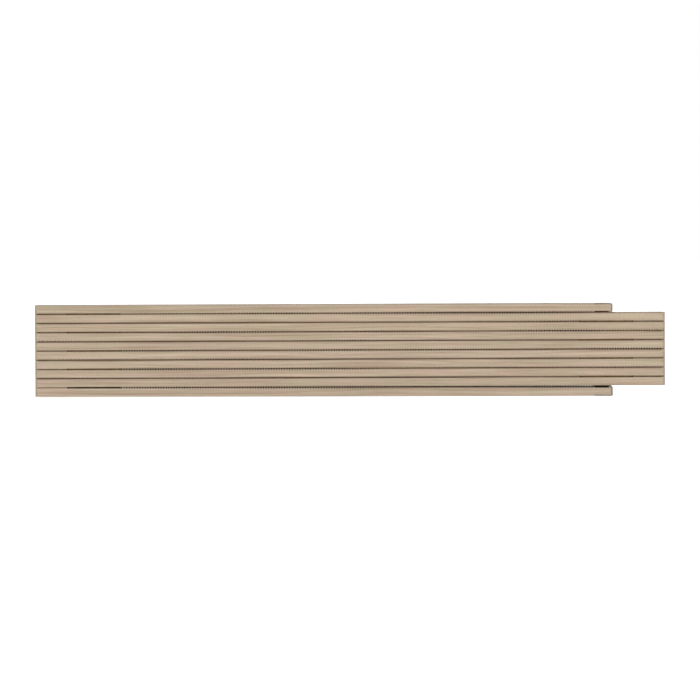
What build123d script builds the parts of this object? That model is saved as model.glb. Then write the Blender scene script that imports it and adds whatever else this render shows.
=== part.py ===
from build123d import *
import math
import os

# A two metre levelling rod of ten wooden links, folded into its pocket stack.
# Millimetres. X runs along the links, Y across them and Z up through the stack.
# The origin is on the resting surface, under the middle of the stack.
# Link 1 is on top and link 10 at the bottom. Joint n joins link n to link n + 1 under it.
# Odd joints pivot at the -X end of the stack, and even joints at its +X end.
# Link 10's end cap lies on its upper face, and holds that link a little open at its free end.

# Laths
LINKS = 10
PIVOT_PITCH = 200.0  # from one pivot to the next along a link
END_OVERHANG = 20.0  # from a pivot to the end of its lath
LATH_WIDTH = 16.0
LATH_THICK = 3.38
LINK_GAP = 0.12  # air between neighbouring laths
LATH_CORNER = 2.0  # corner radius in plan at a jointed end
LATH_ARRIS = 0.5  # rounding of the long edges

# Hinge plates, one on each of the two laths that a joint joins
PLATE_SHEET = 0.3
PLATE_LENGTH = 20.2
PLATE_WIDTH = 15.5
PLATE_CORNER = 0.6
PLATE_SHIFT = 2.5  # from the pivot to the middle of a plate
POCKET_DEPTH = 0.265  # the plates' seats, sawn across the full width of the laths
POCKET_PLAY = 0.05

# Click stops: bumps on the upper plate, a track and pits in the lower one
DETENT_RADIUS = 5.6
BUMPS = 2
BUMP_RADIUS = 0.8
BUMP_TIP_RADIUS = 0.45
BUMP_HEIGHT = 0.12
TRACK_WIDTH = 1.9
TRACK_DEPTH = 0.13
PITS = 4
PIT_RADIUS = 0.85

# Hollow pivot rivet, with the dished spring washer that it holds under the lower plate
PIVOT_RADIUS = 2.3
PIVOT_BORE_RADIUS = 1.7
PIVOT_CLEARANCE = 0.05
FLANGE_RADIUS = 3.6
FLANGE_THICK = 0.35
FLANGE_EDGE = 0.1
WASHER_SHEET = 0.2
WASHER_DISH = 0.1
WASHER_INNER_RADIUS = 2.4
WASHER_OUTER_RADIUS = 3.7
WASHER_RIM = 0.4
WASHER_PLAY = 0.02
CAVITY_RADIUS = 4.2  # hollow in each lath for the flange
CAVITY_DEPTH = 1.2

# Fixing rivets, a pair through each plate and its lath
RIVET_REACH = 10.5  # from the pivot
RIVET_SPACING = 9.0
SHANK_RADIUS = 1.0
SHANK_CLEARANCE = 0.05
INNER_HEAD_RADIUS = 1.6
OUTER_HEAD_RADIUS = 1.8
HEAD_SINK = 0.05  # outer heads lie this far under the wood
HEAD_ANGLE = 90
EYE_RADIUS = 0.6
EYE_DEPTH = 0.8

# Sheet metal caps on the two free ends
CAP_SHEET = 0.46
CAP_LEG = 7.0
CAP_WIDTH = 15.2
CAP_BEND = 0.7
CAPPED_CORNER = 0.6  # corner radius in plan of a lath inside its cap

# Worked out from the above
LINK_PITCH = LATH_THICK + LINK_GAP
FREE_END_DROP = CAP_SHEET  # how far link 10's free end hangs below its place in the stack
JOINTED_END = PIVOT_PITCH / 2 + END_OVERHANG
FREE_END = PIVOT_PITCH / 2
PLATE_FACE = LINK_GAP / 2 + POCKET_DEPTH - PLATE_SHEET  # from mid-gap to a plate's near face
PLATE_BACK = PLATE_FACE + PLATE_SHEET
POCKET_LENGTH = PLATE_LENGTH + 2 * POCKET_PLAY
WASHER_DEPTH = WASHER_SHEET + WASHER_DISH


def link_floor(link):
    """Height of a link's lower face."""
    return FREE_END_DROP + (LINKS - link) * LINK_PITCH


def joint_height(joint):
    """Height of the middle of the gap that a joint works in."""
    return link_floor(joint) - LINK_GAP / 2


def pivot_x(joint):
    """Place of a joint's pivot along the stack."""
    return -PIVOT_PITCH / 2 if joint % 2 else PIVOT_PITCH / 2


def inward(joint):
    """1 or -1, the way from a pivot to the middle of the stack."""
    return 1 if joint % 2 else -1


def joints_of(link):
    """A link's joints, each with the face that it is on: 1 for the top and -1 for the bottom."""
    return [(joint, face) for joint, face in ((link - 1, 1), (link, -1)) if 1 <= joint < LINKS]


def is_capped(link):
    """The first and the last link have a free end."""
    return link in (1, LINKS)


def cap_rise(link):
    """How far a cap's upper leg stands above the lath: it is let in on link 1, but not on link 10."""
    return CAP_SHEET if link == LINKS else 0


def settled(link):
    """How a link is turned from its place in a straight stack: link 10 drops about joint 9."""
    if link < LINKS:
        return Location()
    hinge = Location((pivot_x(LINKS - 1), 0, joint_height(LINKS - 1)))
    return hinge * Rotation(0, math.degrees(math.asin(FREE_END_DROP / PIVOT_PITCH)), 0) * hinge.inverse()


def rivet_spots(joint):
    """Centres of the two fixing rivets beside a joint."""
    x = pivot_x(joint) + inward(joint) * RIVET_REACH
    return [(x, -RIVET_SPACING / 2), (x, RIVET_SPACING / 2)]


def make_lath(link):
    """One wooden lath, with its hinge seats, flange hollows and rivet holes."""
    base = link_floor(link)
    end = FREE_END - CAP_SHEET if is_capped(link) else JOINTED_END
    end_corner = CAPPED_CORNER if is_capped(link) else LATH_CORNER
    with BuildPart() as lath:
        with BuildSketch(Plane.XY.offset(base)) as outline:
            with Locations(((end - JOINTED_END) / 2, 0)):
                Rectangle(end + JOINTED_END, LATH_WIDTH)
            fillet(outline.vertices().group_by(Axis.X)[0], LATH_CORNER)
            fillet(outline.vertices().group_by(Axis.X)[-1], end_corner)
        extrude(amount=LATH_THICK)
        with BuildSketch(Plane.YZ):
            with Locations((0, base + LATH_THICK / 2)):
                RectangleRounded(LATH_WIDTH, LATH_THICK, LATH_ARRIS)
        extrude(amount=JOINTED_END, both=True, mode=Mode.INTERSECT)
        for joint, face in joints_of(link):
            near = base + LATH_THICK if face > 0 else base
            far = base if face > 0 else base + LATH_THICK
            with Locations((pivot_x(joint) + inward(joint) * PLATE_SHIFT, 0, near)):
                Box(POCKET_LENGTH, 2 * LATH_WIDTH, 2 * POCKET_DEPTH, mode=Mode.SUBTRACT)
            with Locations((pivot_x(joint), 0, near)):
                Cylinder(CAVITY_RADIUS, 2 * CAVITY_DEPTH, mode=Mode.SUBTRACT)
            for x, y in rivet_spots(joint):
                with Locations(Plane((x, y, far), z_dir=(0, 0, -face))):
                    CounterSinkHole(
                        SHANK_RADIUS + SHANK_CLEARANCE,
                        OUTER_HEAD_RADIUS,
                        LATH_THICK,
                        HEAD_ANGLE,
                    )
        if is_capped(link):
            seats = [base] if cap_rise(link) else [base, base + LATH_THICK]
            with Locations([(FREE_END, 0, height) for height in seats]):
                Box(2 * CAP_LEG, 2 * LATH_WIDTH, 2 * CAP_SHEET, mode=Mode.SUBTRACT)
    lath.part.location = settled(link)
    lath.part.label = f"link_{link:02d}_lath"
    export_step(lath.part, f"parts/link_{link:02d}_lath.step")


def make_fixing_rivets(link):
    """The eyeleted rivets that hold a link's hinge plates, as separate solids."""
    length = PLATE_SHEET + LATH_THICK - POCKET_DEPTH
    back_radius = INNER_HEAD_RADIUS - PLATE_SHEET
    cone_start = length - (OUTER_HEAD_RADIUS - SHANK_RADIUS)
    head_top = length - HEAD_SINK
    with BuildPart() as rivets:
        for joint, face in joints_of(link):
            height = joint_height(joint) - face * PLATE_FACE
            for x, y in rivet_spots(joint):
                with BuildSketch(Plane((x, y, height), x_dir=(1, 0, 0), z_dir=(0, face, 0))):
                    with BuildLine():
                        Polyline(
                            (0, 0),
                            (INNER_HEAD_RADIUS, 0),
                            (back_radius, PLATE_SHEET),
                            (SHANK_RADIUS, PLATE_SHEET),
                            (SHANK_RADIUS, cone_start),
                            (OUTER_HEAD_RADIUS - HEAD_SINK, head_top),
                            (EYE_RADIUS, head_top),
                            (EYE_RADIUS, head_top - EYE_DEPTH),
                            (0, head_top - EYE_DEPTH),
                            close=True,
                        )
                    make_face()
                revolve(axis=Axis((x, y, height), (0, 0, 1)))
    rivets.part.location = settled(link)
    rivets.part.label = f"link_{link:02d}_fixing_rivets"
    export_step(rivets.part, f"parts/link_{link:02d}_fixing_rivets.step")


def make_end_cap(link):
    """The U-shaped metal cap on a free end. Its lower leg is let in flush with the wood."""
    height = LATH_THICK + cap_rise(link)
    middle = link_floor(link) + height / 2
    with BuildPart() as cap:
        with BuildSketch(Plane.XZ) as profile:
            with Locations((FREE_END - CAP_LEG / 2, middle)):
                Rectangle(CAP_LEG, height)
            fillet(profile.vertices().group_by(Axis.X)[-1], CAP_BEND)
            with Locations((FREE_END - CAP_SHEET - CAP_LEG / 2, middle)):
                Rectangle(CAP_LEG, height - 2 * CAP_SHEET, mode=Mode.SUBTRACT)
        extrude(amount=CAP_WIDTH / 2, both=True)
    cap.part.location = settled(link)
    cap.part.label = f"link_{link:02d}_end_cap"
    export_step(cap.part, f"parts/link_{link:02d}_end_cap.step")


def make_upper_plate(joint):
    """The hinge plate under the upper link, staked to the pivot rivet, with the click bumps."""
    low = joint_height(joint) + PLATE_FACE
    with BuildPart() as plate:
        with BuildSketch(Plane((pivot_x(joint), 0, low), x_dir=(inward(joint), 0, 0))):
            with Locations((PLATE_SHIFT, 0)):
                RectangleRounded(PLATE_LENGTH, PLATE_WIDTH, PLATE_CORNER)
            Circle(PIVOT_RADIUS, mode=Mode.SUBTRACT)
        extrude(amount=PLATE_SHEET)
        with Locations((pivot_x(joint), 0, low - BUMP_HEIGHT / 2)):
            with PolarLocations(DETENT_RADIUS, BUMPS):
                Cone(BUMP_TIP_RADIUS, BUMP_RADIUS, BUMP_HEIGHT)
        for x, y in rivet_spots(joint):
            with Locations(Plane((x, y, low), z_dir=(0, 0, -1))):
                CounterSinkHole(
                    INNER_HEAD_RADIUS - PLATE_SHEET,
                    INNER_HEAD_RADIUS,
                    PLATE_SHEET,
                    HEAD_ANGLE,
                )
    plate.part.label = f"joint_{joint}_upper_plate"
    export_step(plate.part, f"parts/joint_{joint}_upper_plate.step")


def make_lower_plate(joint):
    """The hinge plate on top of the lower link, with the click track and pits."""
    top = joint_height(joint) - PLATE_FACE
    face_plane = Plane((pivot_x(joint), 0, top), x_dir=(inward(joint), 0, 0))
    with BuildPart() as plate:
        with BuildSketch(face_plane):
            with Locations((PLATE_SHIFT, 0)):
                RectangleRounded(PLATE_LENGTH, PLATE_WIDTH, PLATE_CORNER)
            Circle(PIVOT_RADIUS + PIVOT_CLEARANCE, mode=Mode.SUBTRACT)
        extrude(amount=-PLATE_SHEET)
        with BuildSketch(face_plane):
            Circle(DETENT_RADIUS + TRACK_WIDTH / 2)
            Circle(DETENT_RADIUS - TRACK_WIDTH / 2, mode=Mode.SUBTRACT)
        extrude(amount=-TRACK_DEPTH, mode=Mode.SUBTRACT)
        with BuildSketch(face_plane):
            with PolarLocations(DETENT_RADIUS, PITS):
                Circle(PIT_RADIUS)
        extrude(amount=-PLATE_SHEET, mode=Mode.SUBTRACT)
        for x, y in rivet_spots(joint):
            with Locations(Plane((x, y, top), z_dir=(0, 0, 1))):
                CounterSinkHole(
                    INNER_HEAD_RADIUS - PLATE_SHEET,
                    INNER_HEAD_RADIUS,
                    PLATE_SHEET,
                    HEAD_ANGLE,
                )
    plate.part.location = settled(joint + 1)
    plate.part.label = f"joint_{joint}_lower_plate"
    export_step(plate.part, f"parts/joint_{joint}_lower_plate.step")


def make_pivot_rivet(joint):
    """The hollow rivet that both plates of a joint hang on."""
    low = -PLATE_BACK - WASHER_DEPTH - WASHER_PLAY - FLANGE_THICK
    top = PLATE_BACK + FLANGE_THICK
    centre = (pivot_x(joint), 0, joint_height(joint))
    with BuildPart() as rivet:
        with BuildSketch(Plane(centre, x_dir=(1, 0, 0), z_dir=(0, -1, 0))) as profile:
            with BuildLine():
                Polyline(
                    (PIVOT_BORE_RADIUS, low),
                    (FLANGE_RADIUS, low),
                    (FLANGE_RADIUS, low + FLANGE_THICK),
                    (PIVOT_RADIUS, low + FLANGE_THICK),
                    (PIVOT_RADIUS, PLATE_BACK),
                    (FLANGE_RADIUS, PLATE_BACK),
                    (FLANGE_RADIUS, top),
                    (PIVOT_BORE_RADIUS, top),
                    close=True,
                )
            make_face()
            fillet(profile.vertices().group_by(Axis.X)[-1], FLANGE_EDGE)
        revolve(axis=Axis(centre, (0, 0, 1)))
    rivet.part.label = f"joint_{joint}_pivot_rivet"
    export_step(rivet.part, f"parts/joint_{joint}_pivot_rivet.step")


def make_spring_washer(joint):
    """The dished washer under the lower plate, which keeps the joint stiff."""
    centre = (pivot_x(joint), 0, joint_height(joint))
    rim = WASHER_OUTER_RADIUS - WASHER_RIM
    with BuildPart() as washer:
        with BuildSketch(Plane(centre, x_dir=(1, 0, 0), z_dir=(0, -1, 0))):
            with BuildLine():
                Polyline(
                    (WASHER_INNER_RADIUS, -PLATE_BACK - WASHER_DISH),
                    (rim, -PLATE_BACK),
                    (WASHER_OUTER_RADIUS, -PLATE_BACK),
                    (WASHER_OUTER_RADIUS, -PLATE_BACK - WASHER_SHEET),
                    (rim, -PLATE_BACK - WASHER_SHEET),
                    (WASHER_INNER_RADIUS, -PLATE_BACK - WASHER_DEPTH),
                    close=True,
                )
            make_face()
        revolve(axis=Axis(centre, (0, 0, 1)))
    washer.part.location = settled(joint + 1)
    washer.part.label = f"joint_{joint}_spring_washer"
    export_step(washer.part, f"parts/joint_{joint}_spring_washer.step")


os.makedirs("parts", exist_ok=True)
for link in range(1, LINKS + 1):
    make_lath(link)
    make_fixing_rivets(link)
for link in (1, LINKS):
    make_end_cap(link)
for joint in range(1, LINKS):
    make_upper_plate(joint)
    make_lower_plate(joint)
    make_pivot_rivet(joint)
    make_spring_washer(joint)
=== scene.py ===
import math
import random

import bmesh
import bpy
from mathutils import Matrix, Quaternion, Vector


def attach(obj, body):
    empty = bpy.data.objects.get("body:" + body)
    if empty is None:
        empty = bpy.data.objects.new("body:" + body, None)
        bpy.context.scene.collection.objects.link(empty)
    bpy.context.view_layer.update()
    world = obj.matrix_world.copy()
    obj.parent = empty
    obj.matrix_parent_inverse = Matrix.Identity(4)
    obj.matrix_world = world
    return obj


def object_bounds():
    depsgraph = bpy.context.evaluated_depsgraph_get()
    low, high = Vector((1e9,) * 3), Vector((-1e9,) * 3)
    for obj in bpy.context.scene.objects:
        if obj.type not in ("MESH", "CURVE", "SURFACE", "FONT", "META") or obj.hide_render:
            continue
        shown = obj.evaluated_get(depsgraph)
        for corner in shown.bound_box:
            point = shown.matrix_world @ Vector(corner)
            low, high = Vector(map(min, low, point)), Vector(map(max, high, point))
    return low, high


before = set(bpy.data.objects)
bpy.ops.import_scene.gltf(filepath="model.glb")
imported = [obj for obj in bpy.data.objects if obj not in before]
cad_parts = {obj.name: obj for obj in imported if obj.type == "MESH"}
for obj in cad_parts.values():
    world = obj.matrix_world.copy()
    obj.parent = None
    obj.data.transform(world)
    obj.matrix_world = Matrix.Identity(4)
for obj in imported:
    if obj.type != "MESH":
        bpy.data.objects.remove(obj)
cad_low, cad_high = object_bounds()

# The looks of a folding levelling rod: ten beech laths on riveted steel joints, printed with a
# millimetre scale on the back and a levelling graduation on the front. A link's front is its top
# face in the folded stack and its back is the bottom face. Link 1 is on top and link 10 at the
# bottom. Its cap lies on the wood, and holds it open by the cap's thickness.
MM = 0.001
LINKS = 10

# Along the rod, in millimetres
PIVOT_PITCH = 200  # from one pivot to the next
OVERHANG = 20  # from a pivot to the end of its lath
CAP_LEG = 7  # from a free end to the edge of its cap

# Across the rod and up the stack, in metres
LINK_PITCH = 3.5 * MM  # from one lath to the next
LATH_THICK = 3.38 * MM
HALF_WIDTH = (cad_high.y - cad_low.y) / 2
ARRIS = 0.5 * MM  # rounding of the laths' long edges
CAP_SHEET = 0.46 * MM
INK_RISE = 0.012 * MM
INK_SINK = 0.02 * MM

# Worked out from the above
HALF_GAP = (LINK_PITCH - LATH_THICK) / 2
FREE_END_DROP = CAP_SHEET
DROP_ANGLE = math.asin(FREE_END_DROP / (PIVOT_PITCH * MM))
SLIT_HEIGHT = FREE_END_DROP + LINK_PITCH - HALF_GAP  # of joint 9's slit. The others are a pitch apart
DROP_CENTRE = Vector((-PIVOT_PITCH / 2 * MM, 0, SLIT_HEIGHT))


def link_floor(link):
    """Height of a link's lower face in a straight stack, in metres."""
    return FREE_END_DROP + (LINKS - link) * LINK_PITCH


# ---------------------------------------------------------------- camera, light and floor

LENS = 200
SENSOR = 36
VIEW_WIDTH = 266.3 * MM  # what the picture's width takes in at the stack's near face
CAMERA_ELEVATION = math.radians(1.5)
CAMERA_ROLL = math.radians(-0.23)
AIM_SHIFT = Vector((0, 0, 0.2 * MM))  # the stack sits a little low in the picture
FLOOR_RADIUS = 12.0
FLOOR_SIDES = 48


def make_camera():
    """A long lens, square to the laths' edges and a little above them."""
    centre = (cad_low + cad_high) / 2
    aim = Vector((centre.x, cad_low.y, centre.z)) + AIM_SHIFT
    distance = VIEW_WIDTH / 2 / (SENSOR / 2 / LENS)
    back = Vector((0, -math.cos(CAMERA_ELEVATION), math.sin(CAMERA_ELEVATION)))
    data = bpy.data.cameras.new("camera")
    data.lens = LENS
    data.sensor_width = SENSOR
    data.clip_start = 0.01
    data.clip_end = 100
    camera = bpy.data.objects.new("camera", data)
    camera.location = aim + back * distance
    camera.rotation_mode = "QUATERNION"
    roll = Quaternion((0, 0, 1), CAMERA_ROLL)
    camera.rotation_quaternion = (-back).to_track_quat("-Z", "Y") @ roll
    bpy.context.scene.collection.objects.link(camera)
    bpy.context.scene.camera = camera


def make_sun(name, strength, azimuth, elevation, softness):
    """A soft distant lamp. Azimuth 0 shines along +Y, as the camera looks."""
    data = bpy.data.lights.new(name, "SUN")
    data.energy = strength
    data.angle = math.radians(softness)
    lamp = bpy.data.objects.new(name, data)
    a, e = math.radians(azimuth), math.radians(elevation)
    towards = Vector((math.sin(a) * math.cos(e), -math.cos(a) * math.cos(e), math.sin(e)))
    lamp.rotation_mode = "QUATERNION"
    lamp.rotation_quaternion = (-towards).to_track_quat("-Z", "Y")
    bpy.context.scene.collection.objects.link(lamp)


def make_studio():
    """A white surround, two soft lamps and a pale floor."""
    world = bpy.data.worlds.new("studio")
    world.use_nodes = True
    background = world.node_tree.nodes["Background"]
    background.inputs["Color"].default_value = (1, 1, 1, 1)
    background.inputs["Strength"].default_value = 1.0
    bpy.context.scene.world = world
    make_sun("key_lamp", strength=0.4, azimuth=-35, elevation=40, softness=40)
    make_sun("fill_lamp", strength=0.15, azimuth=50, elevation=25, softness=60)
    bpy.context.scene.view_settings.view_transform = "Standard"

    turns = [i * math.tau / FLOOR_SIDES for i in range(FLOOR_SIDES)]
    corners = [(FLOOR_RADIUS * math.cos(a), FLOOR_RADIUS * math.sin(a), 0) for a in turns]
    mesh = bpy.data.meshes.new("floor")
    mesh.from_pydata(corners, [], [tuple(range(FLOOR_SIDES))])
    floor = bpy.data.objects.new("floor", mesh)
    bpy.context.scene.collection.objects.link(floor)
    paint = Finish("floor_paint")
    paint.set("Base Color", (0.8, 0.8, 0.8, 1))
    paint.set("Roughness", 1.0)
    paint.set("Specular IOR Level", 0.0)
    paint.set("Emission Color", (1, 1, 1, 1))
    paint.set("Emission Strength", 0.7)
    mesh.materials.append(paint.material)


# ---------------------------------------------------------------- materials


class Finish:
    """A node-based material around one Principled shader."""

    def __init__(self, name):
        self.material = bpy.data.materials.new(name)
        self.material.use_nodes = True
        self.tree = self.material.node_tree
        self.tree.nodes.clear()
        self.shader = self.tree.nodes.new("ShaderNodeBsdfPrincipled")
        output = self.tree.nodes.new("ShaderNodeOutputMaterial")
        self.tree.links.new(self.shader.outputs[0], output.inputs["Surface"])

    def feed(self, socket, value):
        """Links value to the socket if it is another node's output, and sets it otherwise."""
        if isinstance(value, bpy.types.NodeSocket):
            self.tree.links.new(value, socket)
        else:
            socket.default_value = value

    def set(self, name, value):
        self.feed(self.shader.inputs[name], value)

    def node(self, kind, *values, **settings):
        """A new node, with its first inputs fed in order. None leaves an input as it is."""
        made = self.tree.nodes.new(kind)
        for key, value in settings.items():
            setattr(made, key, value)
        for socket, value in zip(made.inputs, values):
            if value is not None:
                self.feed(socket, value)
        return made

    def math(self, operation, a, b=None, clamp=False):
        return self.node("ShaderNodeMath", a, b, operation=operation, use_clamp=clamp).outputs[0]

    def vector(self, operation, a, b=None):
        made = self.node("ShaderNodeVectorMath", a, b, operation=operation)
        return made.outputs["Value" if operation == "LENGTH" else "Vector"]

    def noise(self, place, cells, detail=2.0, roughness=0.5):
        """Noise from 0 to 1, with so many cells to a millimetre along X, Y and Z."""
        made = self.node("ShaderNodeTexNoise")
        self.feed(made.inputs["Vector"], self.vector("MULTIPLY", place, cells))
        made.inputs["Scale"].default_value = 1.0
        made.inputs["Detail"].default_value = detail
        made.inputs["Roughness"].default_value = roughness
        return made.outputs[0]

    def span(self, value, low, high, to_low=0.0, to_high=1.0):
        """The value moved from one range to another, and held inside it."""
        made = self.node("ShaderNodeMapRange", value, low, high, to_low, to_high)
        made.clamp = True
        return made.outputs[0]

    def mix(self, factor, a, b, blend="MIX"):
        made = self.node("ShaderNodeMix", data_type="RGBA", blend_type=blend)
        for index, value in ((0, factor), (6, a), (7, b)):
            self.feed(made.inputs[index], value)
        return made.outputs[2]

    def bump(self, height, distance, strength=1.0, below=None):
        made = self.node("ShaderNodeBump")
        self.feed(made.inputs["Height"], height)
        made.inputs["Distance"].default_value = distance
        made.inputs["Strength"].default_value = strength
        if below is not None:
            self.feed(made.inputs["Normal"], below)
        return made.outputs[0]

    def millimetres(self, place=None, centre=(0, 0, 0)):
        """The place on the object, or another one given, in millimetres from a centre in metres."""
        if place is None:
            place = self.node("ShaderNodeTexCoord").outputs["Object"]
        return self.vector("MULTIPLY", self.vector("SUBTRACT", place, centre), (1 / MM, 1 / MM, 1 / MM))

    def both(self, a, b):
        """The product of two masks."""
        return self.math("MULTIPLY", a, b)


def srgb(red, green, blue):
    """A colour given as it looks on screen, from 0 to 255, in the renderer's linear values."""
    shares = [c / 255 for c in (red, green, blue)]
    return tuple(c / 12.92 if c <= 0.04045 else ((c + 0.055) / 1.055) ** 2.4 for c in shares) + (1,)


def scaled(colour, share):
    return tuple(c * share for c in colour[:3]) + (1,)


WOOD_PALE = srgb(175, 159, 138)
WOOD_MEAN = srgb(160, 143, 123)
WOOD_DARK = srgb(138, 118, 96)
WOOD_PINK = (1.045, 0.985, 0.985, 1)
WOOD_STRAW = (0.97, 1.005, 0.935, 1)
FLECK = srgb(118, 92, 68)
# Dark brown on the long edges that meet the next lath: grime, and painted shade in the gaps between
# laths.
GRIME_AND_GAP_SHADE = srgb(72, 42, 16)
# Cool grey on the outer links' outside edges: weathering, and a painted sheen of the white surround.
WEATHERED_SHEEN = srgb(140, 134, 120)
END_GRAIN_AND_SHADE = srgb(112, 98, 80)
# Painted shade colours: near-black under and beside link 10's cap, dark brown beside link 1's cap and
# in the slits between hinge plates.
BLACK_SHADE = (0.004, 0.003, 0.002, 1)
BROWN_SHADE = (0.05, 0.03, 0.014, 1)
OUTER_LINKS = (1, LINKS)  # handling has darkened them
SHADED_GRIMY_FACES = {1: -1, LINKS - 1: 1, LINKS: 1}  # the one face with grime and painted gap shade, on links that have only one

# Where painted shade and ink wear start and are full, in millimetres
CAP_SIDES = (7.2, 7.5)  # across the rod
PLATE_SIDES = (7.3, 7.6)
INKED_SIDES = (7.2, 7.6)
BEFORE_BEND = (98.8, 98.2)  # along a cap's leg, short of its bend


def lath_place(f, link):
    """The place in millimetres from the middle of a link's lath, along it, across it and up."""
    place = None
    if link == LINKS:
        turn = f.node("ShaderNodeVectorRotate", rotation_type="Y_AXIS")
        f.feed(turn.inputs["Vector"], f.node("ShaderNodeTexCoord").outputs["Object"])
        turn.inputs["Center"].default_value = DROP_CENTRE
        turn.inputs["Angle"].default_value = -DROP_ANGLE
        place = turn.outputs[0]
    return f.millimetres(place, (0, 0, link_floor(link) + LATH_THICK / 2))


def year_rings(f, here, there, draw):
    """Wavy rings round the tree's pith, which runs along the lath and outside it."""
    pith = (0, draw.uniform(-50, 50), draw.uniform(35, 80) * draw.choice((-1, 1)))
    across = f.vector("MULTIPLY", f.vector("ADD", here, pith), (0, 1, 1))
    wander = f.noise(there, (0.012, 0.08, 0.08), detail=2)
    radius = f.math("ADD", f.vector("LENGTH", across), f.math("MULTIPLY", wander, 5.0))
    rings = f.node("ShaderNodeTexNoise", noise_dimensions="1D")
    f.feed(rings.inputs["W"], f.math("MULTIPLY", radius, 1.1))
    rings.inputs["Scale"].default_value = 1.0
    rings.inputs["Detail"].default_value = 2.5
    return f.span(rings.outputs[0], 0.32, 0.68)


def soil_edges(f, link, here, there, colour):
    """Grime rubbed into the long edges, with painted shade where they meet the next lath, uneven along
    them and different above and below.
    """
    x, y, z = f.node("ShaderNodeSeparateXYZ", here).outputs
    side = f.math("ABSOLUTE", y)
    shaded_grimy_face = SHADED_GRIMY_FACES.get(link)
    rise = f.math("MULTIPLY", z, shaded_grimy_face) if shaded_grimy_face else f.math("ABSOLUTE", z)
    half_width = HALF_WIDTH / MM
    half_thick = LATH_THICK / 2 / MM
    near_side = f.span(side, half_width - 1.2, half_width - 0.5)
    near_face = f.span(rise, half_thick - 0.5, half_thick - 0.02)
    long_way = f.noise(there, (0.016, 0.1, 0.45), detail=2)
    short_way = f.noise(there, (0.15, 0.6, 0.6), detail=3)
    patchy = f.math("ADD", f.span(long_way, 0.3, 0.7, 0.1, 0.75), f.span(short_way, 0.3, 0.7, 0.0, 0.2))
    if link == LINKS:
        patchy = f.math("MULTIPLY", patchy, 0.1)
    # Grime and painted gap shade on the edges that meet the next lath.
    grime_and_shade = f.math("MULTIPLY", f.both(near_side, near_face), patchy, clamp=True)
    colour = f.mix(grime_and_shade, colour, GRIME_AND_GAP_SHADE)
    # The outside long edges of the outer links turn a cool grey: weathering, and a painted sheen of the
    # white surround on the lacquer.
    if link in OUTER_LINKS:
        open_edge = f.span(rise, 0.5 - half_thick, 0.1 - half_thick, 0.0, 0.6)
        colour = f.mix(f.both(open_edge, near_side), colour, WEATHERED_SHEEN)

    if link == LINKS:
        # Painted black shade on the wood under the upper leg of the cap.
        leg_start = PIVOT_PITCH / 2 - CAP_LEG
        past_start = f.span(x, leg_start - 0.2, leg_start + 0.4)
        under_leg = f.both(past_start, f.span(x, *BEFORE_BEND))
        just_below = f.span(z, half_thick - 0.35, half_thick - 0.15, 0.0, 0.9)
        colour = f.mix(f.both(f.both(under_leg, just_below), near_side), colour, BLACK_SHADE)
    return colour


def wood(link):
    """Lacquered beech, cut from another part of the tree for each lath."""
    draw = random.Random(1000 + link)
    f = Finish(f"beech_{link:02d}")
    here = lath_place(f, link)
    shift = (draw.uniform(-400, 400), draw.uniform(-40, 40), draw.uniform(-40, 40))
    there = f.vector("ADD", here, shift)
    ring = year_rings(f, here, there, draw)
    fibre = f.noise(there, (0.07, 4.5, 4.5), detail=4, roughness=0.6)
    streak = f.noise(there, (0.018, 1.1, 1.1), detail=3)
    cloud = f.noise(there, (0.02, 0.05, 0.2), detail=1)
    fleck = f.noise(there, (0.55, 5.5, 5.5), detail=1)
    pores = f.noise(there, (0.9, 11.0, 11.0), detail=2)

    tone = f.math("MULTIPLY", ring, 0.26)
    for share, part in ((0.32, streak), (0.28, fibre), (0.14, cloud)):
        tone = f.math("ADD", tone, f.math("MULTIPLY", f.span(part, 0.3, 0.7), share))
    ramp = f.node("ShaderNodeValToRGB", tone)
    ramp.color_ramp.elements[0].position = 0.2
    ramp.color_ramp.elements[0].color = WOOD_DARK
    ramp.color_ramp.elements[1].position = 0.8
    ramp.color_ramp.elements[1].color = WOOD_PALE
    middle = ramp.color_ramp.elements.new(0.5)
    middle.color = WOOD_MEAN
    colour = ramp.outputs[0]
    hue = f.noise(there, (0.06, 0.2, 0.3), detail=2)
    colour = f.mix(1.0, colour, f.mix(f.span(hue, 0.35, 0.65), WOOD_PINK, WOOD_STRAW), "MULTIPLY")
    shade = draw.uniform(0.98, 1.005) * (0.985 if link in OUTER_LINKS else 1)
    warmth = draw.uniform(0.985, 1.015)
    colour = f.mix(1.0, colour, (shade, shade, shade * warmth, 1), "MULTIPLY")
    flecks = f.math("MULTIPLY", f.span(fleck, 0.66, 0.74), 0.4)
    colour = f.mix(flecks, colour, FLECK)

    colour = soil_edges(f, link, here, there, colour)

    # End grain drinks the lacquer and looks darker; the same darkening over the faces near the ends and
    # round their rounded corners is painted shade.
    x = f.node("ShaderNodeSeparateXYZ", here).outputs[0]
    reach = PIVOT_PITCH / 2 + OVERHANG
    at_end = f.span(f.math("ABSOLUTE", x), reach - 1.1, reach - 0.2, 0.0, 0.7)
    colour = f.mix(at_end, colour, END_GRAIN_AND_SHADE)
    f.set("Base Color", colour)

    gloss = f.math("ADD", f.math("MULTIPLY", streak, 0.5), f.math("MULTIPLY", pores, 0.5))
    gloss = f.span(gloss, 0.3, 0.7, 0.36, 0.52)
    f.set("Roughness", f.math("ADD", gloss, f.math("MULTIPLY", at_end, 0.3)))
    f.set("Specular IOR Level", 0.42)
    f.set("Coat Weight", 0.18)
    f.set("Coat Roughness", 0.28)
    fine = f.bump(fibre, 0.02 * MM, 0.5)
    f.set("Normal", f.bump(pores, 0.012 * MM, 0.5, fine))
    return f.material


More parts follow.
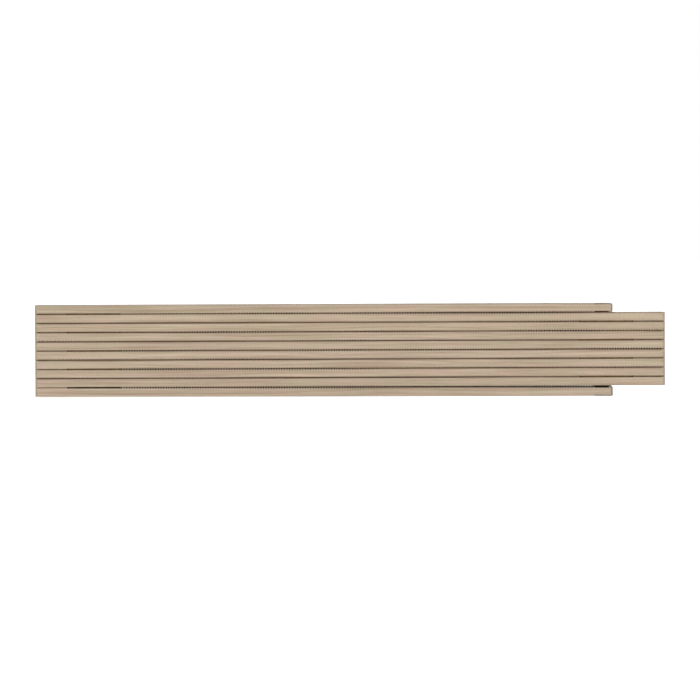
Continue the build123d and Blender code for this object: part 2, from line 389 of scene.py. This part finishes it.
def metal(name, colour, tarnish, roughness, grain=(0.25, 3.0, 3.0), dirt=None):
    """Sheet or turned metal with a drawn grain, fine scratches and dull patches.

    The last argument, if given, is a function that takes the place as x, y and z in millimetres, and
    gives the colour of painted shade and where it lies.
    """
    f = Finish(name)
    here = f.millimetres()
    brushed = f.noise(here, grain, detail=5, roughness=0.65)
    patches = f.span(f.noise(here, (0.35, 0.35, 0.35), detail=4), 0.42, 0.68)
    specks = f.span(f.noise(here, (6, 6, 6), detail=2), 0.62, 0.74, 0.0, 0.5)
    spread = f.math("MAXIMUM", f.math("MULTIPLY", patches, 0.55), specks)
    tint = f.mix(f.span(brushed, 0.3, 0.7), scaled(colour, 0.82), colour)
    tint = f.mix(spread, tint, tarnish)
    if dirt is not None:
        # Painted shade mixed in over the metal's tint.
        shade_colour, where = dirt(f, *f.node("ShaderNodeSeparateXYZ", here).outputs)
        tint = f.mix(where, tint, shade_colour)
    f.set("Base Color", tint)
    f.set("Metallic", 1.0)
    worn = f.span(brushed, 0.3, 0.7, roughness - 0.08, roughness + 0.1)
    f.set("Roughness", f.math("ADD", worn, f.math("MULTIPLY", spread, 0.25)))
    f.set("Normal", f.bump(brushed, 0.006 * MM, 0.5))
    return f.material


def leg_dirt(low, high, shade_colour):
    """Painted shade along the sides of a cap's leg, which lies between two heights in millimetres."""

    def dirt(f, x, y, z):
        on_leg = f.both(f.span(x, *BEFORE_BEND), f.span(f.math("ABSOLUTE", y), *CAP_SIDES))
        above = f.span(z, low - 0.05, low + 0.05)
        below = f.span(z, high + 0.05, high - 0.05)
        return shade_colour, f.both(on_leg, f.both(above, below))

    return dirt


def slit_dirt(f, x, y, z):
    """Painted shade along the slit between two hinge plates, on their sides."""
    at_side = f.span(f.math("ABSOLUTE", y), *PLATE_SIDES)
    off = f.math("PINGPONG", f.math("SUBTRACT", z, SLIT_HEIGHT / MM), LINK_PITCH / MM / 2)
    return BROWN_SHADE, f.both(at_side, f.span(off, 0.3, 0.08, 0.0, 0.9))


def ink(name, colour):
    """Printing ink, a little thin over the wood's grain."""
    f = Finish(name)
    here = f.millimetres()
    thin = f.noise(here, (0.4, 6, 6), detail=3)
    worn = f.span(f.noise(here, (1.6, 1.6, 1.6), detail=3), 0.62, 0.8, 0.0, 0.2)
    tint = f.mix(f.span(thin, 0.35, 0.75, 0.0, 0.1), colour, scaled(WOOD_DARK, 0.6))
    y = f.node("ShaderNodeSeparateXYZ", here).outputs[1]
    on_edge = f.span(f.math("ABSOLUTE", y), *INKED_SIDES)
    patches = f.noise(here, (0.025, 0.3, 0.6), detail=2)
    rubbed = f.both(on_edge, f.span(patches, 0.44, 0.56, 0.0, 0.8))
    f.set("Base Color", f.mix(f.math("MAXIMUM", worn, rubbed), tint, WOOD_DARK))
    f.set("Roughness", f.span(thin, 0.3, 0.7, 0.42, 0.6))
    f.set("Specular IOR Level", 0.25)
    f.set("Normal", f.bump(thin, 0.004 * MM, 0.5))
    return f.material


def dress_frame():
    """Gives each CAD node its material."""
    brass, nickel, steel = srgb(196, 164, 104), srgb(186, 184, 178), srgb(120, 122, 128)
    brassed = metal("plate_brassed", srgb(140, 118, 92), srgb(96, 76, 56), 0.42, dirt=slit_dirt)
    finishes = {
        "upper_plate": brassed,
        "lower_plate": brassed,
        "pivot_rivet": metal("pivot_brass", brass, srgb(120, 92, 52), 0.34, (3, 3, 3)),
        "spring_washer": metal("spring_steel", steel, srgb(70, 66, 62), 0.38, (3, 3, 3)),
        "fixing_rivets": metal("rivet_nickel", nickel, srgb(120, 112, 100), 0.3, (2, 2, 2)),
    }
    # On link 1 the lower leg's sides get painted brown shade, and on link 10 the upper one's get
    # painted black shade, from the wood to past its top.
    sheet, top_floor, bottom_face = CAP_SHEET / MM, link_floor(1) / MM, LATH_THICK / MM
    for link, colour, dirt in (
        (1, srgb(142, 136, 122), leg_dirt(top_floor, top_floor + sheet, BROWN_SHADE)),
        (LINKS, srgb(118, 117, 106), leg_dirt(bottom_face, bottom_face + 2 * sheet, BLACK_SHADE)),
    ):
        name = f"cap_steel_{link:02d}"
        finishes[f"{link:02d}_end_cap"] = metal(name, colour, srgb(84, 78, 66), 0.36, dirt=dirt)
    # Joint 9's plates are the same parts as at the other joints, given a dark brown as painted shade.
    shaded_plate = metal("plate_shaded", srgb(78, 62, 46), srgb(36, 28, 20), 0.55)
    for name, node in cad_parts.items():
        if name.endswith("_lath"):
            material = wood(int(name[5:7]))
        elif name in ("joint_9_upper_plate", "joint_9_lower_plate"):
            material = shaded_plate
        else:
            material = finishes[next(kind for kind in finishes if name.endswith(kind))]
        for slot in node.material_slots:
            slot.material = material


# ---------------------------------------------------------------- printed graduations

# The scale starts at link 1's free end. Lengths here are in millimetres along the opened rod.
HINGE_CLEAR = 13.0  # from a pivot to where the print starts again
CORNER = 2  # the laths' ends are rounded in plan, and have no ticks there
ROD_LENGTH = LINKS * PIVOT_PITCH
TICK_WIDTH = 0.26
BACK_TICKS = {10: 5.0, 5: 3.9, 1: 2.7}  # their lengths, by what a mark can be divided by
FRONT_TICKS = {5: 3.2, 1: 2.4}
RIVET_REACH = 10.5  # from a pivot to the pair of rivet heads beside it
RIVET_OFFSET = 4.5  # from the middle of the face to each head
RIVET_RADIUS = 1.95  # of the bare circle round a head
RIVET_STEPS = 12  # in half a bare circle
RIVET_CLEAR = 0.15  # from a shortened tick to a bare circle
LEAST_STRIP = 0.05
WRAP_ANGLE = 84  # how far round the rounded edge a mark goes, in degrees
WORN_ANGLE = 20  # the same on the outside of the folded stack, where handling has worn the ink off
WRAP_STEPS = 5


def along(link):
    """-1 or 1: the way that the scale runs along X on a link of the folded stack."""
    return -1 if link % 2 else 1


def scale_x(link, mark):
    """The x in metres of a mark on a link, with the mark in millimetres along the rod."""
    middle = PIVOT_PITCH * (link - 1) + PIVOT_PITCH / 2
    return along(link) * (mark - middle) * MM


def printed_span(link, face):
    """The first and last millimetre of the print on a link's front (1) or back (-1).

    The caps have no print on them.
    """
    start, end = PIVOT_PITCH * (link - 1), PIVOT_PITCH * link
    if face > 0:
        first, last = start + HINGE_CLEAR, end + OVERHANG
    else:
        first, last = start - OVERHANG, end - HINGE_CLEAR
    return (first if link > 1 else CAP_LEG), (last if link < LINKS else ROD_LENGTH - CAP_LEG)


def tick_marks(link, face):
    """The millimetres that have a tick on a face."""
    first, last = printed_span(link, face)
    low = first + CORNER if face < 0 and link > 1 else first
    high = last - CORNER if face > 0 and link < LINKS else last
    if link == 1:
        low += 1  # a tick at the cap's edge would lie half on the cap
    if link == LINKS:
        high -= 1
    return range(math.ceil(low), math.floor(high) + 1)


def rivet_mark(link, face):
    """Where on the rod the rivet heads show through a printed face, or None on a face without any."""
    if face > 0:
        return PIVOT_PITCH * link - RIVET_REACH if link < LINKS else None
    return PIVOT_PITCH * (link - 1) + RIVET_REACH if link > 1 else None


class Print:
    """The ink on one face of a link: thin closed slabs, gathered into one mesh."""

    def __init__(self, link, face):
        self.link, self.face = link, face
        self.height = link_floor(link) + (LATH_THICK if face > 0 else 0)
        self.bm = bmesh.new()
        self.rivets = rivet_mark(link, face)

    def slab(self, start, end, path, red=False):
        """A slab between two marks.

        path lists (y, z, outward y, outward z) on the surface, in metres.
        """
        outline = ((start, INK_RISE), (end, INK_RISE), (end, -INK_SINK), (start, -INK_SINK))
        rings = []
        for y, z, out_y, out_z in path:
            ring = []
            for mark, lift in outline:
                x = scale_x(self.link, mark)
                ring.append(self.bm.verts.new((x, y + out_y * lift, z + out_z * lift)))
            rings.append(ring)
        faces = [self.bm.faces.new(rings[0]), self.bm.faces.new(rings[-1])]
        for a, b in zip(rings, rings[1:]):
            for i in range(4):
                j = (i + 1) % 4
                faces.append(self.bm.faces.new((a[i], a[j], b[j], b[i])))
        for made in faces:
            made.material_index = int(red)

    def flat(self, start, end, near, far, red=False):
        """A slab on the flat of the face, between two places across it, cut round the rivet heads."""
        cuts = [start, end]
        if self.rivets is not None:
            steps = [i / RIVET_STEPS - 1 for i in range(2 * RIVET_STEPS + 1)]
            round_heads = [self.rivets + RIVET_RADIUS * step for step in steps]
            cuts = sorted({start, end, *[c for c in round_heads if start < c < end]})
        for a, b in zip(cuts, cuts[1:]):
            for low, high in self.clear((a + b) / 2, near, far):
                path = [(y * MM, self.height, 0, self.face) for y in (low, high)]
                self.slab(a, b, path, red)

    def clear(self, mark, near, far):
        """The parts of a strip across the face that no rivet head takes up."""
        near, far = min(near, far), max(near, far)
        if self.rivets is None or abs(mark - self.rivets) >= RIVET_RADIUS:
            return [(near, far)]
        half = math.sqrt(RIVET_RADIUS**2 - (mark - self.rivets) ** 2)
        spans = [(near, far)]
        for centre in (-RIVET_OFFSET, RIVET_OFFSET):
            left = [(low, min(high, centre - half)) for low, high in spans]
            right = [(max(low, centre + half), high) for low, high in spans]
            spans = [(low, high) for low, high in left + right if high - low > LEAST_STRIP]
        return spans

    def outside(self, mark):
        """Whether a mark lies on the outside of the folded stack."""
        if self.link == (1 if self.face > 0 else LINKS):
            return True
        past_free_end = scale_x(self.link, mark) > PIVOT_PITCH / 2 * MM
        return past_free_end and self.link == (2 if self.face > 0 else LINKS - 1)

    def tick(self, mark, length, side):
        """A line in from one long edge, which starts on the edge's rounding."""
        wrap = WORN_ANGLE if self.outside(mark) else WRAP_ANGLE
        if self.rivets is not None and abs(mark - self.rivets) < RIVET_RADIUS:
            length = min(length, HALF_WIDTH / MM - RIVET_OFFSET - RIVET_RADIUS - RIVET_CLEAR)
        path = [(side * (HALF_WIDTH - length * MM), self.height, 0, self.face)]
        for i in range(WRAP_STEPS + 1):
            a = math.radians(wrap * i / WRAP_STEPS)
            y = side * (HALF_WIDTH - ARRIS + ARRIS * math.sin(a))
            z = self.height - self.face * ARRIS * (1 - math.cos(a))
            path.append((y, z, side * math.sin(a), self.face * math.cos(a)))
        self.slab(mark - TICK_WIDTH / 2, mark + TICK_WIDTH / 2, path)

    def figure(self, text, mark, y, size, upright, red=False):
        """A number centred on a mark. upright is True where the rod is read standing."""
        run = Vector((along(self.link), 0, 0))
        out = Vector((0, 0, self.face))
        up = run if upright else out.cross(run)
        right = up.cross(out)
        matrix = Matrix((right, up, out)).transposed().to_4x4()
        matrix.translation = Vector((scale_x(self.link, mark), y * MM, self.height))
        mesh = figure_mesh(text, size)
        first = len(self.bm.faces)
        mesh.transform(matrix)
        self.bm.from_mesh(mesh)
        mesh.transform(matrix.inverted())
        self.bm.faces.ensure_lookup_table()
        for made in self.bm.faces[first:]:
            made.material_index = int(red)

    def finish(self, name, inks):
        bmesh.ops.recalc_face_normals(self.bm, faces=self.bm.faces)
        if self.link == LINKS:
            turn = Matrix.Rotation(DROP_ANGLE, 3, "Y")
            bmesh.ops.rotate(self.bm, cent=DROP_CENTRE, matrix=turn, verts=self.bm.verts)
        mesh = bpy.data.meshes.new(name)
        self.bm.to_mesh(mesh)
        self.bm.free()
        for material in inks:
            mesh.materials.append(material)
        piece = bpy.data.objects.new(name, mesh)
        bpy.context.scene.collection.objects.link(piece)
        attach(piece, f"link_{self.link:02d}")


figure_meshes = {}


def figure_mesh(text, size):
    """A number as a thin closed mesh, centred on the origin and facing +Z. size is in millimetres."""
    if (text, size) not in figure_meshes:
        curve = bpy.data.curves.new("figure", "FONT")
        curve.body = text
        curve.size = size * MM
        curve.align_x = "CENTER"
        curve.align_y = "CENTER"
        curve.offset = 0.012 * size * MM
        curve.resolution_u = 6
        curve.extrude = (INK_RISE + INK_SINK) / 2
        holder = bpy.data.objects.new("figure", curve)
        bpy.context.scene.collection.objects.link(holder)
        dg = bpy.context.evaluated_depsgraph_get()
        mesh = bpy.data.meshes.new_from_object(holder.evaluated_get(dg))
        mesh.transform(Matrix.Translation((0, 0, (INK_RISE - INK_SINK) / 2)))
        bpy.data.objects.remove(holder)
        bpy.data.curves.remove(curve)
        figure_meshes[text, size] = mesh
    return figure_meshes[text, size]


def tick_length(mark, lengths):
    return next(length for step, length in lengths.items() if mark % step == 0)


# The figures, in millimetres
FIGURE_ROOM = 4  # at least this far from a figure's middle to the end of the print
CENTIMETRE_SIZE = 3.6
DECIMETRE_SIZE = 4.4
FRONT_SIZES = {1: 7.2, 2: 5.0}  # by the number of digits
FRONT_START = 25  # from the start of a decimetre to its figure
FRONT_ACROSS = 12.5  # from the edge with the ticks
METRE = 1000

# The levelling marks across the front, from the edge with the ticks, in millimetres
E_NEAR, E_MIDDLE, E_FAR = 3.9, 6.6, 9.3
E_STEM = 0.8


def print_back(link, inks):
    """A millimetre scale along both edges, with centimetre figures between."""
    first, last = printed_span(link, -1)
    sheet = Print(link, -1)
    for mark in tick_marks(link, -1):
        for side in (-1, 1):
            sheet.tick(mark, tick_length(mark, BACK_TICKS), side)
    for centimetre in range(1, ROD_LENGTH // 10):
        mark = centimetre * 10
        if first + FIGURE_ROOM <= mark <= last - FIGURE_ROOM:
            decimetre = mark % 100 == 0
            size = DECIMETRE_SIZE if decimetre else CENTIMETRE_SIZE
            sheet.figure(str(centimetre), mark, 0, size, upright=False, red=decimetre)
    sheet.finish(f"link_{link:02d}_back_scale", inks)


def print_front(link, inks):
    """Levelling marks, black in the first metre and red in the second, with a millimetre edge."""
    first, last = printed_span(link, 1)
    sheet = Print(link, 1)
    tick_side = -along(link)
    half = HALF_WIDTH / MM

    def across(distance):
        return tick_side * (half - distance)

    for mark in tick_marks(link, 1):
        sheet.tick(mark, tick_length(mark, FRONT_TICKS), tick_side)
    for centimetre in range(ROD_LENGTH // 10):
        start, end = max(centimetre * 10, first), min(centimetre * 10 + 10, last)
        if end <= start:
            continue
        red = centimetre * 10 >= METRE
        outer, inner = (E_NEAR, E_MIDDLE) if centimetre % 10 >= 5 else (E_FAR, E_MIDDLE)
        stem = outer + math.copysign(E_STEM, inner - outer)
        sheet.flat(start, end, across(outer), across(stem), red)
        if centimetre % 5 % 2 == 0:
            sheet.flat(start, end, across(stem), across(inner), red)
    for decimetre in range(ROD_LENGTH // 100):
        mark = decimetre * 100 + FRONT_START
        if first + FIGURE_ROOM <= mark <= last - FIGURE_ROOM:
            text = str(decimetre)
            size = FRONT_SIZES[len(text)]
            sheet.figure(text, mark, across(FRONT_ACROSS), size, upright=True, red=mark >= METRE)
    sheet.finish(f"link_{link:02d}_front_scale", inks)


# ---------------------------------------------------------------- the scene

make_camera()
make_studio()
dress_frame()
inks = [ink("ink_black", (0.026, 0.019, 0.013, 1)), ink("ink_red", (0.42, 0.028, 0.02, 1))]
for link in range(1, LINKS + 1):
    print_back(link, inks)
    print_front(link, inks)
for mesh in figure_meshes.values():
    bpy.data.meshes.remove(mesh)
